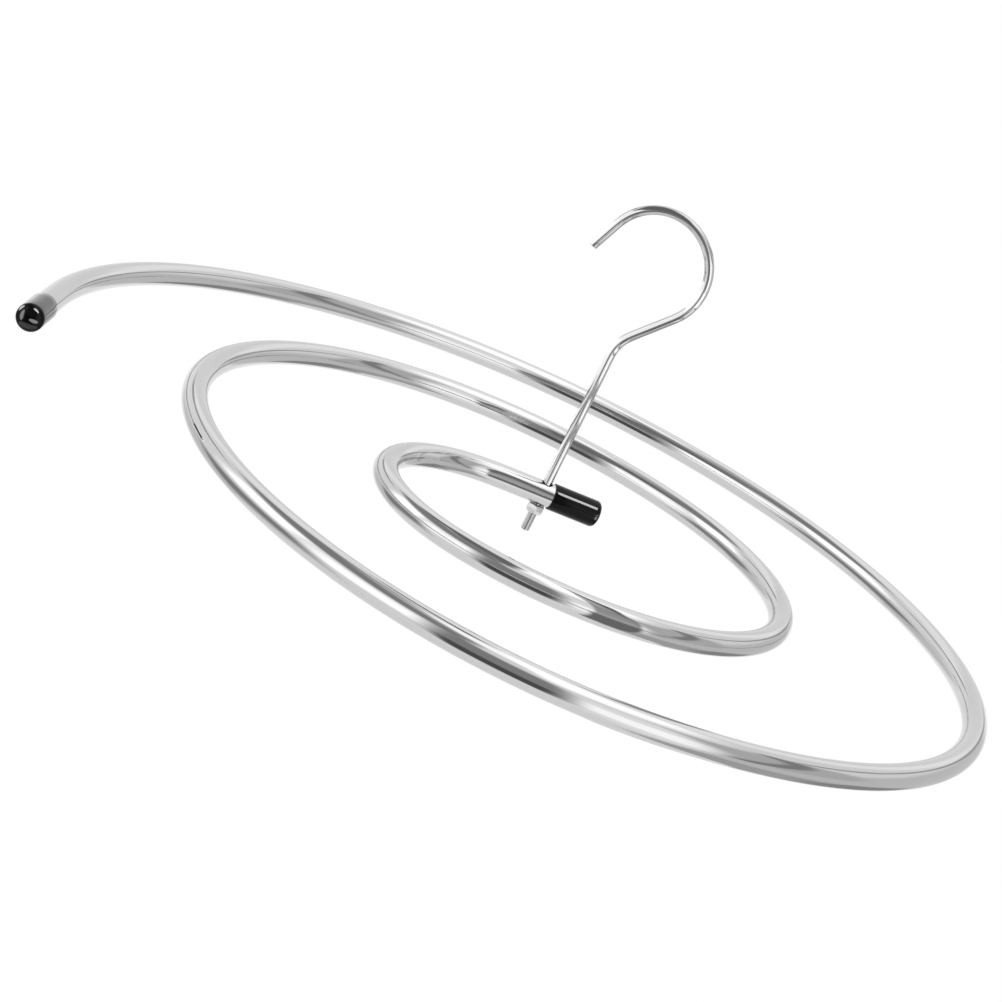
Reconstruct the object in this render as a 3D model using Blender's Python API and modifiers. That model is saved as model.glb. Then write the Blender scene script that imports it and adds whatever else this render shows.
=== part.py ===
"""Spiral drying rack, in metres, +Z up.

One thin stainless tube is rolled into a flat spiral. Near its inner end it is drilled through, and it
hangs and turns on the straight shank of a wire hook, resting on a nut. A plastic cap closes each end.

The origin is the rail seat, the highest point inside the hook. The hook lies in the XZ plane and opens
towards -X. The shank runs down the Z axis, and the spiral lies flat at the bottom of it.
"""

from math import asin, ceil, cos, pi, radians, sin, tan

import bmesh
import bpy
from mathutils import Vector

# Tube: half-inch stainless, thin walled
TUBE_DIAMETER = 0.0127
TUBE_WALL = 0.0006

# Spiral: the tube leaves the hub straight, takes six bends in turn, and ends straight. Radii are along
# its centreline
START_DIRECTION = 204
HUB_STRAIGHT = 0.025
FIRST_RADIUS = 0.069
FIRST_ANGLE = 148
SECOND_RADIUS = 0.128
SECOND_ANGLE = 163
THIRD_RADIUS = 0.163
THIRD_ANGLE = 92
FOURTH_RADIUS = 0.197
FOURTH_ANGLE = 141
FIFTH_RADIUS = 0.245
FIFTH_ANGLE = 187
SIXTH_RADIUS = 0.281
SIXTH_ANGLE = 68
OUTER_STRAIGHT = 0.0475

# Hook: round wire, bent in one plane
WIRE_DIAMETER = 0.005
HOOK_INSIDE_RADIUS = 0.026
HOOK_WRAP = 198
HOOK_TIP_STRAIGHT = 0.0175
LEAN = 41
NECK_RADIUS = 0.020
RAIL_TO_TUBE = 0.159
THREAD_TAIL = 0.0106
WIRE_CHAMFER = 0.0005

# Hexagon nut, M5, and the drilled hole that turns above it
NUT_FLATS = 0.008
NUT_HEIGHT = 0.0047
NUT_CHAMFER_ANGLE = 30
NUT_COUNTERSINK = 0.0004
NUT_TURN = -11
HOLE_OVERSIZE = 0.0015

# End caps
CAP_LENGTH = 0.028
CAP_WALL = 0.00055
CAP_END_WALL = 0.0012
CAP_EDGE_RADIUS = 0.003
CAP_DOME_RADIUS = 0.016
CAP_FIT = 0.00025
CAP_TO_NUT = 0.0004

# Gap between pieces that seat on each other
SEAT_GAP = 0.0003

# Facets: the largest turn from one ring of a bend to the next, and the sides of a round section
BEND_FACET = 6
TUBE_BEVEL = 4
WIRE_BEVEL = 4
LATHE_STEPS = 24
CAP_DOME_STEPS = 2
CAP_EDGE_STEPS = 5

# Sizes that follow from the ones above
TUBE_RADIUS = TUBE_DIAMETER / 2
WIRE_RADIUS = WIRE_DIAMETER / 2
NUT_CORNER_RADIUS = NUT_FLATS / 2 / cos(radians(30))
NUT_TOP = -RAIL_TO_TUBE - TUBE_RADIUS - SEAT_GAP
HOLE_RADIUS = (WIRE_DIAMETER + HOLE_OVERSIZE) / 2
CAP_MOUTH = max(NUT_CORNER_RADIUS, HOLE_RADIUS) + CAP_TO_NUT
CAP_BORE_RADIUS = TUBE_RADIUS + CAP_FIT
CAP_RADIUS = CAP_BORE_RADIUS + CAP_WALL
CAP_EDGE_MIDDLE = CAP_RADIUS - CAP_EDGE_RADIUS
CAP_DOME_ANGLE = asin(CAP_EDGE_MIDDLE / (CAP_DOME_RADIUS - CAP_EDGE_RADIUS))
CAP_DEPTH = CAP_LENGTH - CAP_DOME_RADIUS + CAP_EDGE_MIDDLE / tan(CAP_DOME_ANGLE)
INNER_STRAIGHT = CAP_MOUTH + CAP_DEPTH - SEAT_GAP
HUB = Vector((0, 0, -RAIL_TO_TUBE))
BENDS = (
    (FIRST_RADIUS, FIRST_ANGLE),
    (SECOND_RADIUS, SECOND_ANGLE),
    (THIRD_RADIUS, THIRD_ANGLE),
    (FOURTH_RADIUS, FOURTH_ANGLE),
    (FIFTH_RADIUS, FIFTH_ANGLE),
    (SIXTH_RADIUS, SIXTH_ANGLE),
)


def clear_scene():
    for old in list(bpy.data.objects):
        bpy.data.objects.remove(old, do_unlink=True)


def new_collection(name):
    collection = bpy.data.collections.new(name)
    bpy.context.scene.collection.children.link(collection)
    return collection


def material(name, colour, roughness, metallic):
    made = bpy.data.materials.new(name)
    made.use_nodes = True
    shader = made.node_tree.nodes["Principled BSDF"]
    shader.inputs["Base Color"].default_value = (*colour, 1)
    shader.inputs["Roughness"].default_value = roughness
    shader.inputs["Metallic"].default_value = metallic
    return made


def add_object(name, data, collection, look=None, parent=None, location=(0, 0, 0)):
    made = bpy.data.objects.new(name, data)
    collection.objects.link(made)
    made.location = location
    made.parent = parent
    if look:
        data.materials.clear()
        data.materials.append(look)
    return made


def route(start, heading, moves):
    """Points and last heading of a flat line of straights and tangent bends.

    A move is (length, 0) for a straight or (radius, angle) for a bend, in degrees, left turns positive.
    """
    points = [Vector(start)]
    heading = radians(heading)
    for size, angle in moves:
        if angle == 0:
            points.append(points[-1] + size * Vector((cos(heading), sin(heading))))
            continue
        reach = size if angle > 0 else -size
        centre = points[-1] + reach * Vector((-sin(heading), cos(heading)))
        steps = ceil(abs(angle) / BEND_FACET)
        for step in range(1, steps + 1):
            turned = heading + radians(angle) * step / steps
            points.append(centre + reach * Vector((sin(turned), -cos(turned))))
        heading += radians(angle)
    return points, heading


def rod(name, points, radius, bevel, caps, collection):
    """A round section swept along the points, as a mesh with its end caps welded on."""
    curve = bpy.data.curves.new(name, "CURVE")
    curve.dimensions = "3D"
    curve.twist_mode = "MINIMUM"
    curve.bevel_depth = radius
    curve.bevel_resolution = bevel
    curve.use_fill_caps = caps
    spline = curve.splines.new("POLY")
    spline.points.add(len(points) - 1)
    for spot, point in zip(spline.points, points):
        spot.co = (*point, 1)
    sweep = add_object(name + "_path", curve, collection)
    bpy.context.view_layer.update()
    seen = sweep.evaluated_get(bpy.context.evaluated_depsgraph_get())
    mesh = bpy.data.meshes.new_from_object(seen)
    bpy.data.objects.remove(sweep, do_unlink=True)
    work = bmesh.new()
    work.from_mesh(mesh)
    bmesh.ops.remove_doubles(work, verts=work.verts, dist=1e-6)
    work.to_mesh(mesh)
    work.free()
    mesh.name = name
    return mesh


def smooth(mesh, angle):
    mesh.shade_smooth()
    mesh.set_sharp_from_angle(angle=radians(angle))


def turned(name, profile, collection, steps=LATHE_STEPS):
    """A solid of revolution about Z from (radius, height) points that start and end on the axis."""
    mesh = bpy.data.meshes.new(name)
    corners = [(radius, 0, height) for radius, height in profile]
    mesh.from_pydata(corners, [(k, k + 1) for k in range(len(corners) - 1)], [])
    made = add_object(name, mesh, collection)
    screw = made.modifiers.new("turn", "SCREW")
    screw.steps = steps
    screw.render_steps = steps
    screw.use_merge_vertices = True
    screw.merge_threshold = 1e-6
    screw.use_smooth_shade = True
    return made


def as_cutter(made):
    made.hide_render = True
    made.display_type = "WIRE"
    return made


def boolean(made, other, operation):
    cut = made.modifiers.new(operation.lower(), "BOOLEAN")
    cut.operation = operation
    cut.object = other


def hub_drill(cutters):
    """The drill that makes the swivel hole through both walls of the tube."""
    bpy.ops.mesh.primitive_cylinder_add(
        vertices=LATHE_STEPS, radius=HOLE_RADIUS, depth=2 * TUBE_DIAMETER, location=HUB
    )
    drill = bpy.context.active_object
    drill.name = "hub_drill"
    for owner in list(drill.users_collection):
        owner.objects.unlink(drill)
    cutters.objects.link(drill)
    return as_cutter(drill)


def spiral_tube(rack, cutters, swivel, steel):
    """The rolled tube: an open skin with a wall, drilled at the hub."""
    backwards = radians(START_DIRECTION + 180)
    start = INNER_STRAIGHT * Vector((cos(backwards), sin(backwards)))
    moves = [(INNER_STRAIGHT + HUB_STRAIGHT, 0), *BENDS, (OUTER_STRAIGHT, 0)]
    line, last_heading = route(start, START_DIRECTION, moves)
    points = [Vector((x, y, 0)) for x, y in line]
    mesh = rod("spiral_tube", points, TUBE_RADIUS, TUBE_BEVEL, False, rack)
    smooth(mesh, 50)
    tube = add_object("spiral_tube", mesh, rack, steel, swivel)
    wall = tube.modifiers.new("wall", "SOLIDIFY")
    wall.thickness = TUBE_WALL
    wall.offset = -1
    wall.use_even_offset = True
    boolean(tube, hub_drill(cutters), "DIFFERENCE")
    return points[0], backwards, points[-1], last_heading


def hook_moves():
    """Straights and bends of the hook, upwards from the bottom of the threaded end.

    The leaning run is as long as it must be for the round of the hook to end up over the shank.
    """
    lean = radians(LEAN)
    radius = HOOK_INSIDE_RADIUS + WIRE_RADIUS
    run = (radius * cos(lean) - NECK_RADIUS * (1 - cos(lean))) / sin(lean)
    rise = NECK_RADIUS * sin(lean) + run * cos(lean) + radius * sin(lean)
    hook_centre = -HOOK_INSIDE_RADIUS
    bottom = NUT_TOP - NUT_HEIGHT - THREAD_TAIL
    shank = hook_centre - rise - bottom
    moves = [
        (shank, 0),
        (NECK_RADIUS, -LEAN),
        (run, 0),
        (radius, HOOK_WRAP),
        (HOOK_TIP_STRAIGHT, 0),
    ]
    return bottom, moves


def hanging_hook(rack, steel):
    bottom, moves = hook_moves()
    line, _ = route((0, bottom), 90, moves)
    points = [Vector((x, 0, z)) for x, z in line]
    mesh = rod("hanging_hook", points, WIRE_RADIUS, WIRE_BEVEL, True, rack)
    smooth(mesh, 50)
    hook = add_object("hanging_hook", mesh, rack, steel)
    chamfer = hook.modifiers.new("end_chamfer", "BEVEL")
    chamfer.width = WIRE_CHAMFER
    chamfer.segments = 1
    chamfer.limit_method = "ANGLE"
    chamfer.angle_limit = radians(60)
    return hook


def nut_corner_cutter(cutters):
    """A disc coned at both faces: what it shares with the hexagon has chamfered corners."""
    face = NUT_FLATS / 2 * 0.95
    outside = NUT_CORNER_RADIUS * 1.2
    drop = (outside - face) * tan(radians(NUT_CHAMFER_ANGLE))
    half = NUT_HEIGHT / 2
    profile = [(0, half), (face, half), (outside, half - drop), (outside, drop - half), (face, -half), (0, -half)]
    return as_cutter(turned("nut_corner_cutter", profile, cutters))


def nut_bore_cutter(cutters):
    """The nut's bore, a seat gap clear of the thread, opened at both faces."""
    bore = WIRE_RADIUS + SEAT_GAP
    half = NUT_HEIGHT / 2
    mouth = bore + NUT_COUNTERSINK
    past = half + NUT_COUNTERSINK
    wide = mouth + NUT_COUNTERSINK
    profile = [(0, past), (wide, past), (bore, half - NUT_COUNTERSINK)]
    profile += [(bore, NUT_COUNTERSINK - half), (wide, -past), (0, -past)]
    return as_cutter(turned("nut_bore_cutter", profile, cutters))


def hex_nut(rack, cutters, steel):
    bpy.ops.mesh.primitive_cylinder_add(
        vertices=6, radius=NUT_CORNER_RADIUS, depth=NUT_HEIGHT, location=(0, 0, NUT_TOP - NUT_HEIGHT / 2)
    )
    nut = bpy.context.active_object
    nut.name = nut.data.name = "hex_nut"
    for owner in list(nut.users_collection):
        owner.objects.unlink(nut)
    rack.objects.link(nut)
    nut.data.materials.append(steel)
    # The primitive's first corner points along +Y
    nut.rotation_euler.z = radians(NUT_TURN - 90)
    for cutter, operation in (
        (nut_corner_cutter(cutters), "INTERSECT"),
        (nut_bore_cutter(cutters), "DIFFERENCE"),
    ):
        cutter.location = nut.location
        boolean(nut, cutter, operation)
    return nut


def closed_end(inset):
    """Outline of a cap's closed end from its axis to its side, the given depth inside its skin.

    The end is a shallow dome. Its rounded edge is an arc that meets dome and side without a kink.
    """
    dome = CAP_DOME_RADIUS - inset
    edge = CAP_EDGE_RADIUS - inset
    outline = []
    for step in range(CAP_DOME_STEPS):
        angle = CAP_DOME_ANGLE * step / CAP_DOME_STEPS
        outline.append((dome * sin(angle), CAP_LENGTH - CAP_DOME_RADIUS + dome * cos(angle)))
    for step in range(CAP_EDGE_STEPS + 1):
        angle = CAP_DOME_ANGLE + (pi / 2 - CAP_DOME_ANGLE) * step / CAP_EDGE_STEPS
        outline.append((CAP_EDGE_MIDDLE + edge * sin(angle), CAP_DEPTH + edge * cos(angle)))
    return outline


def cap_profile():
    """Outline of a cap along its axis: the mouth at height 0, the closed end above it.

    The bore runs to the start of the rounded edge, where the tube's end meets a shoulder. The end is
    hollow behind the shoulder.
    """
    lip = CAP_WALL / 3
    mouth = [(CAP_RADIUS, lip), (CAP_RADIUS - lip, 0), (CAP_BORE_RADIUS, 0), (CAP_BORE_RADIUS, CAP_DEPTH)]
    return closed_end(0) + mouth + closed_end(CAP_END_WALL)[::-1]


def end_cap(name, tube_end, heading, rack, swivel, plastic):
    """A cap pushed over a tube end. `heading` points out of the tube."""
    cap = turned(name, cap_profile(), rack)
    cap.data.materials.append(plastic)
    cap.parent = swivel
    outwards = Vector((cos(heading), sin(heading), 0))
    cap.location = Vector(tube_end) - outwards * (CAP_DEPTH - SEAT_GAP)
    cap.rotation_euler = (0, pi / 2, heading)
    return cap


def build():
    clear_scene()
    rack = new_collection("spiral_drying_rack")
    cutters = new_collection("cutters")
    tube_steel = material("polished_tube", (0.77, 0.77, 0.76), 0.12, 1)
    wire_steel = material("polished_wire", (0.74, 0.74, 0.73), 0.14, 1)
    nut_steel = material("bright_nut", (0.70, 0.70, 0.69), 0.22, 1)
    plastic = material("black_cap", (0.012, 0.012, 0.013), 0.18, 0)

    # The swivel's axis runs down the shank, through the hub
    swivel = add_object("swivel", None, rack, location=HUB)

    inner_end, inner_heading, outer_end, outer_heading = spiral_tube(rack, cutters, swivel, tube_steel)
    hanging_hook(rack, wire_steel)
    hex_nut(rack, cutters, nut_steel)
    end_cap("inner_end_cap", inner_end, inner_heading, rack, swivel, plastic)
    end_cap("outer_end_cap", outer_end, outer_heading, rack, swivel, plastic)


build()
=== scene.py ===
# %% [markdown]
# # A spiral drying rack
#
# Sheets and quilts dry on this rack without touching themselves. One long steel tube is rolled into a
# flat spiral, and it hangs and turns on the straight shank of a wire hook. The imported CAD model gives
# every piece its place. This script dresses that model: it builds each piece again with the smooth
# bends, the thread, the worked edges and the finish that the real one has.

# %% Load the frame
from math import asin, atan2, ceil, cos, degrees, hypot, pi, radians, sin, sqrt, tan

import bmesh
import bpy
import numpy as np
from mathutils import Matrix, Vector


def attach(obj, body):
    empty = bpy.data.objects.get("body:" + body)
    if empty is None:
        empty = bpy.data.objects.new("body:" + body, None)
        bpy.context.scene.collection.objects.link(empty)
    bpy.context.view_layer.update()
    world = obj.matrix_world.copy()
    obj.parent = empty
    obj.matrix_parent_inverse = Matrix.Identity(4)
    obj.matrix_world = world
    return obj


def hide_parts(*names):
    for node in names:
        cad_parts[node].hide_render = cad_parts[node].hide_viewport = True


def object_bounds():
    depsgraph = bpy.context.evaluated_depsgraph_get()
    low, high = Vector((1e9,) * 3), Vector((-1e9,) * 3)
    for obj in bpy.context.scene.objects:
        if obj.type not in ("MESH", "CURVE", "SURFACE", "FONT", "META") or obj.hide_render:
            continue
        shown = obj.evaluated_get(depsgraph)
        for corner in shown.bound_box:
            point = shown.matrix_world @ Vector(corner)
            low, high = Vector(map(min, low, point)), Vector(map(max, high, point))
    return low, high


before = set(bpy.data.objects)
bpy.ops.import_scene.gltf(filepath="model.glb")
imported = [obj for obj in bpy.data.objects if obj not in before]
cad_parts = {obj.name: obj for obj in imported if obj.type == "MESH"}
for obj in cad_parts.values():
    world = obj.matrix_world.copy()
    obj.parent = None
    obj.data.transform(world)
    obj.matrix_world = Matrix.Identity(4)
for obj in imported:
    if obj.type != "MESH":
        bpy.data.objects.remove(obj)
cad_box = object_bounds()
scene = bpy.context.scene
scene.view_settings.view_transform = "Standard"

# %% [markdown]
# ## Sizes
#
# The tube, the wire, the nut and the caps are bought as standard goods, so their sizes are round ones:
# half-inch tube, 5 mm wire with an M5 thread, and caps that push over the tube. All lengths are in
# metres and all angles in degrees. They are the sizes that the CAD model was built from.

# %% Sizes of the stock and of the bends
MM = 0.001

TUBE_RADIUS = 6.35 * MM
TUBE_WALL = 0.6 * MM
START_DIRECTION = 204
HUB_STRAIGHT = 25 * MM
# Radius and degrees of each bend of the tube, from the hub outwards
BENDS = (
    (69 * MM, 148),
    (128 * MM, 163),
    (163 * MM, 92),
    (197 * MM, 141),
    (245 * MM, 187),
    (281 * MM, 68),
)
OUTER_STRAIGHT = 47.5 * MM

WIRE_RADIUS = 2.5 * MM
HOOK_INSIDE_RADIUS = 26 * MM
HOOK_WRAP = 198
HOOK_TIP_STRAIGHT = 17.5 * MM
LEAN = 41
NECK_RADIUS = 20 * MM
RAIL_TO_TUBE = 159 * MM
THREAD_TAIL = 10.6 * MM

SEAT_GAP = 0.3 * MM
NUT_FLATS = 8 * MM
NUT_HEIGHT = 4.7 * MM
NUT_TURN = -11
NUT_TOP = -RAIL_TO_TUBE - TUBE_RADIUS - SEAT_GAP
NUT_CORNER_RADIUS = NUT_FLATS / 2 / cos(radians(30))
HOLE_CLEARANCE = 0.75 * MM
HOLE_RADIUS = WIRE_RADIUS + HOLE_CLEARANCE

CAP_LENGTH = 28 * MM
CAP_DOME_RADIUS = 16 * MM
CAP_EDGE_RADIUS = 3 * MM
CAP_END_WALL = 1.2 * MM
CAP_SIDE_WALL = 0.55 * MM
CAP_CLEARANCE = 0.25 * MM
CAP_TO_NUT = 0.4 * MM
CAP_BORE_RADIUS = TUBE_RADIUS + CAP_CLEARANCE
CAP_RADIUS = CAP_BORE_RADIUS + CAP_SIDE_WALL
CAP_EDGE_MIDDLE = CAP_RADIUS - CAP_EDGE_RADIUS
CAP_DOME_ANGLE = asin(CAP_EDGE_MIDDLE / (CAP_DOME_RADIUS - CAP_EDGE_RADIUS))
CAP_DEPTH = CAP_LENGTH - CAP_DOME_RADIUS + CAP_EDGE_MIDDLE / tan(CAP_DOME_ANGLE)
CAP_MOUTH = NUT_CORNER_RADIUS + CAP_TO_NUT
INNER_STRAIGHT = CAP_MOUTH + CAP_DEPTH - SEAT_GAP

HUB = Vector((0, 0, -RAIL_TO_TUBE))
print("cap across", round(2 * CAP_RADIUS / MM, 2), "mm, tube inside it", round(CAP_DEPTH / MM, 2), "mm")

# %% [markdown]
# ## Camera
#
# The photograph was taken from a little above the rack with a long lens, and its picture is turned
# clockwise, so that the hanging shank leans to the right. A camera frame made of three directions,
# right, up and back, says that more plainly than three turns would.

# %% Camera
CAMERA_AZIMUTH = 9.609
CAMERA_ELEVATION = 16.585
CAMERA_ROLL = 26.016
CAMERA_DISTANCE = 1.2345
CAMERA_TARGET = Vector((-0.0096, -0.04875, -RAIL_TO_TUBE))
FOCAL_LENGTH = 87.95
SENSOR_WIDTH = 36
NEAREST_SEEN = 0.05


def direction(azimuth, elevation):
    """The way to something seen at an azimuth, from -Y towards +X, and a height above the horizon."""
    around, above = radians(azimuth), radians(elevation)
    return Vector((sin(around) * cos(above), -cos(around) * cos(above), sin(above)))


back = direction(CAMERA_AZIMUTH, CAMERA_ELEVATION)
level = Vector((cos(radians(CAMERA_AZIMUTH)), sin(radians(CAMERA_AZIMUTH)), 0))
turn = Matrix.Rotation(radians(CAMERA_ROLL), 3, back)
right = turn @ level
up = turn @ back.cross(level)

camera = bpy.data.objects.new("camera", bpy.data.cameras.new("camera"))
scene.collection.objects.link(camera)
camera.data.sensor_width = SENSOR_WIDTH
camera.data.lens = FOCAL_LENGTH
camera.data.clip_start = NEAREST_SEEN
pose = Matrix((right, up, back)).transposed().to_4x4()
pose.translation = CAMERA_TARGET + back * CAMERA_DISTANCE
camera.matrix_world = pose
scene.camera = camera
print("camera at", [round(place, 3) for place in pose.translation])

# %% [markdown]
# ## Colours and nodes
#
# Colours are written as they are read on a screen, as sRGB hex values, and turned to the linear values
# that the renderer works with. One helper adds a node with its settings and links.


# %% Helpers for materials
def linear(hex_colour):
    """An sRGB hex colour as linear red, green, blue and full alpha."""
    channels = [int(hex_colour[k : k + 2], 16) / 255 for k in (1, 3, 5)]
    return (*((c / 12.92 if c <= 0.04045 else ((c + 0.055) / 1.055) ** 2.4) for c in channels), 1)


def add(tree, kind, inputs=None, **settings):
    """A new node with its settings. An input is a value, or a socket to link from."""
    made = tree.nodes.new(kind)
    for name, value in settings.items():
        setattr(made, name, value)
    for name, value in (inputs or {}).items():
        if isinstance(value, bpy.types.NodeSocket):
            tree.links.new(value, made.inputs[name])
        else:
            made.inputs[name].default_value = value
    return made


print("sRGB #808080 is", round(linear("#808080")[0], 3), "in linear light")

# %% [markdown]
# ## Polished steel
#
# Tube and wire are 304 stainless steel, drawn through dies and then buffed along their length. Buffing
# leaves a bright mirror with very fine lines that run with the metal. They are a few hundredths of a
# millimetre apart, too fine for the render, so they are drawn about half a millimetre wide. The lines
# follow the bends because they are laid on a map of the metal: metres along it and metres around it.
# Rolled metal is never quite true, so long low ripples make the reflections waver a little. Hands and
# racks leave it duller in some places than in others.


# %% Polished steel
BUFFING_DETAIL = 3
HANDLING_DETAIL = 5
HANDLING_SCALE = 0.4
MARKS_RANGE = (0.6, 1.4)
DULLNESS_RANGE = (0.75, 1.35)


def buffed_steel(name, colour, roughness, line_width, line_length, line_depth, ripple, ripple_depth):
    """Mirror steel with lines along it, low ripples, and gloss made uneven by buffing and handling."""
    made = bpy.data.materials.new(name)
    made.use_nodes = True
    tree = made.node_tree
    shader = tree.nodes["Principled BSDF"]
    shader.inputs["Base Color"].default_value = linear(colour)
    shader.inputs["Metallic"].default_value = 1

    lay = add(tree, "ShaderNodeUVMap", uv_map="lay")
    stretch = add(
        tree,
        "ShaderNodeMapping",
        {"Vector": lay.outputs["UV"], "Scale": (1 / line_length, 1 / line_width, 1)},
    )
    lines = add(
        tree,
        "ShaderNodeTexNoise",
        {"Vector": stretch.outputs["Vector"], "Scale": 1, "Detail": BUFFING_DETAIL},
    )
    place = add(tree, "ShaderNodeTexCoord")
    waves = add(
        tree,
        "ShaderNodeTexNoise",
        {"Vector": place.outputs["Object"], "Scale": 1 / ripple, "Detail": 1},
    )
    handling = add(
        tree,
        "ShaderNodeTexNoise",
        {"Vector": place.outputs["Object"], "Scale": HANDLING_SCALE / ripple, "Detail": HANDLING_DETAIL},
    )
    marks = add(
        tree,
        "ShaderNodeMath",
        {0: lines.outputs["Fac"], 1: handling.outputs["Fac"]},
        operation="ADD",
    )
    dullness = add(
        tree,
        "ShaderNodeMapRange",
        {
            "Value": marks.outputs[0],
            "From Min": MARKS_RANGE[0],
            "From Max": MARKS_RANGE[1],
            "To Min": roughness * DULLNESS_RANGE[0],
            "To Max": roughness * DULLNESS_RANGE[1],
        },
    )
    tree.links.new(dullness.outputs["Result"], shader.inputs["Roughness"])
    low = add(
        tree,
        "ShaderNodeBump",
        {"Height": waves.outputs["Fac"], "Strength": 1, "Distance": ripple_depth},
    )
    fine = add(
        tree,
        "ShaderNodeBump",
        {
            "Height": lines.outputs["Fac"],
            "Strength": 1,
            "Distance": line_depth,
            "Normal": low.outputs["Normal"],
        },
    )
    tree.links.new(fine.outputs["Normal"], shader.inputs["Normal"])
    return made


TUBE_STEEL = buffed_steel(
    "buffed_304_tube",
    "#CDCDCD",
    roughness=0.06,
    line_width=0.5 * MM,
    line_length=60 * MM,
    line_depth=0.012 * MM,
    ripple=18 * MM,
    ripple_depth=0.03 * MM,
)
WIRE_STEEL = buffed_steel(
    "drawn_304_wire",
    "#C0C0C0",
    roughness=0.07,
    line_width=0.4 * MM,
    line_length=30 * MM,
    line_depth=0.004 * MM,
    ripple=14 * MM,
    ripple_depth=0.02 * MM,
)
print("steels", TUBE_STEEL.name, WIRE_STEEL.name)

# %% [markdown]
# ## Cold-formed nut
#
# The nut is pressed from stainless bar and its faces are turned, which leaves rings round its axis and
# a duller shine than buffing does. The rings are a wave in the distance from the axis, worked out from
# the place on the nut.

# %% Nut steel
NUT_MIDDLE = Vector((0, 0, NUT_TOP - NUT_HEIGHT / 2))
TURNING_PITCH = 0.12 * MM
TURNING_DEPTH = 0.004 * MM
STAIN_SIZE = 1.5 * MM

NUT_STEEL = bpy.data.materials.new("turned_A2_nut")
NUT_STEEL.use_nodes = True
tree = NUT_STEEL.node_tree
shader = tree.nodes["Principled BSDF"]
shader.inputs["Base Color"].default_value = linear("#C2C2C2")
shader.inputs["Metallic"].default_value = 1
place = add(tree, "ShaderNodeTexCoord")
flat = add(tree, "ShaderNodeVectorMath", {0: place.outputs["Object"], 1: (1, 1, 0)}, operation="MULTIPLY")
reach = add(tree, "ShaderNodeVectorMath", {0: flat.outputs["Vector"]}, operation="LENGTH")
cycles = add(
    tree,
    "ShaderNodeMath",
    {0: reach.outputs["Value"], 1: 2 * pi / TURNING_PITCH},
    operation="MULTIPLY",
)
rings = add(tree, "ShaderNodeMath", {0: cycles.outputs[0]}, operation="SINE")
stain = add(
    tree,
    "ShaderNodeTexNoise",
    {"Vector": place.outputs["Object"], "Scale": 1 / STAIN_SIZE, "Detail": 4},
)
dullness = add(
    tree,
    "ShaderNodeMapRange",
    {"Value": stain.outputs["Fac"], "From Min": 0.3, "From Max": 0.7, "To Min": 0.14, "To Max": 0.26},
)
tree.links.new(dullness.outputs["Result"], shader.inputs["Roughness"])
bump = add(
    tree,
    "ShaderNodeBump",
    {"Height": rings.outputs[0], "Strength": 0.25, "Distance": TURNING_DEPTH},
)
tree.links.new(bump.outputs["Normal"], shader.inputs["Normal"])
print("nut steel", NUT_STEEL.name, "rings every", round(TURNING_PITCH / MM, 2), "mm")

# %% [markdown]
# ## Moulded caps
#
# The caps are injection-moulded polyethylene, filled with carbon black. A polished mould gives a glossy
# skin with a very slight orange peel, and handling leaves it with faint scuffs. In the photograph the
# white room hardly shows in them, so the specular level is low, and only lamps make clear glints. A
# little sheen stands for the thin haze of scuffs, which pales the plastic where it is seen at a slant.

# %% Cap plastic
PEEL_SIZE = 1.2 * MM
PEEL_DEPTH = 0.004 * MM
SCUFF_SIZE = 6 * MM

CAP_PLASTIC = bpy.data.materials.new("moulded_black_polyethylene")
CAP_PLASTIC.use_nodes = True
tree = CAP_PLASTIC.node_tree
shader = tree.nodes["Principled BSDF"]
shader.inputs["IOR"].default_value = 1.51
shader.inputs["Specular IOR Level"].default_value = 0.12
shader.inputs["Sheen Weight"].default_value = 0.32
shader.inputs["Sheen Roughness"].default_value = 0.3
place = add(tree, "ShaderNodeTexCoord")
peel = add(
    tree,
    "ShaderNodeTexNoise",
    {"Vector": place.outputs["Object"], "Scale": 1 / PEEL_SIZE, "Detail": 2},
)
scuffs = add(
    tree,
    "ShaderNodeTexNoise",
    {"Vector": place.outputs["Object"], "Scale": 1 / SCUFF_SIZE, "Detail": 8, "Roughness": 0.7},
)
tone = add(tree, "ShaderNodeMix", {"Factor": scuffs.outputs["Fac"]}, data_type="RGBA")
tone.inputs["A"].default_value = linear("#060606")
tone.inputs["B"].default_value = linear("#0C0C0C")
tree.links.new(tone.outputs["Result"], shader.inputs["Base Color"])
dullness = add(
    tree,
    "ShaderNodeMapRange",
    {"Value": scuffs.outputs["Fac"], "From Min": 0.35, "From Max": 0.7, "To Min": 0.05, "To Max": 0.09},
)
tree.links.new(dullness.outputs["Result"], shader.inputs["Roughness"])
bump = add(tree, "ShaderNodeBump", {"Height": peel.outputs["Fac"], "Strength": 1, "Distance": PEEL_DEPTH})
tree.links.new(bump.outputs["Normal"], shader.inputs["Normal"])
print("cap plastic", CAP_PLASTIC.name)

# %% [markdown]
# ## Building meshes
#
# Every piece here is a sweep or a turned form, so its mesh is rows of points joined by quads. The
# helper makes the object and also writes the map of the metal: for each point, how far along and how
# far around the stock it lies.


# %% Helpers for meshes
def in_collection(name, mesh):
    """A new object in the scene, with this mesh."""
    made = bpy.data.objects.new(name, mesh)
    scene.collection.objects.link(made)
    return made


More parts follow.
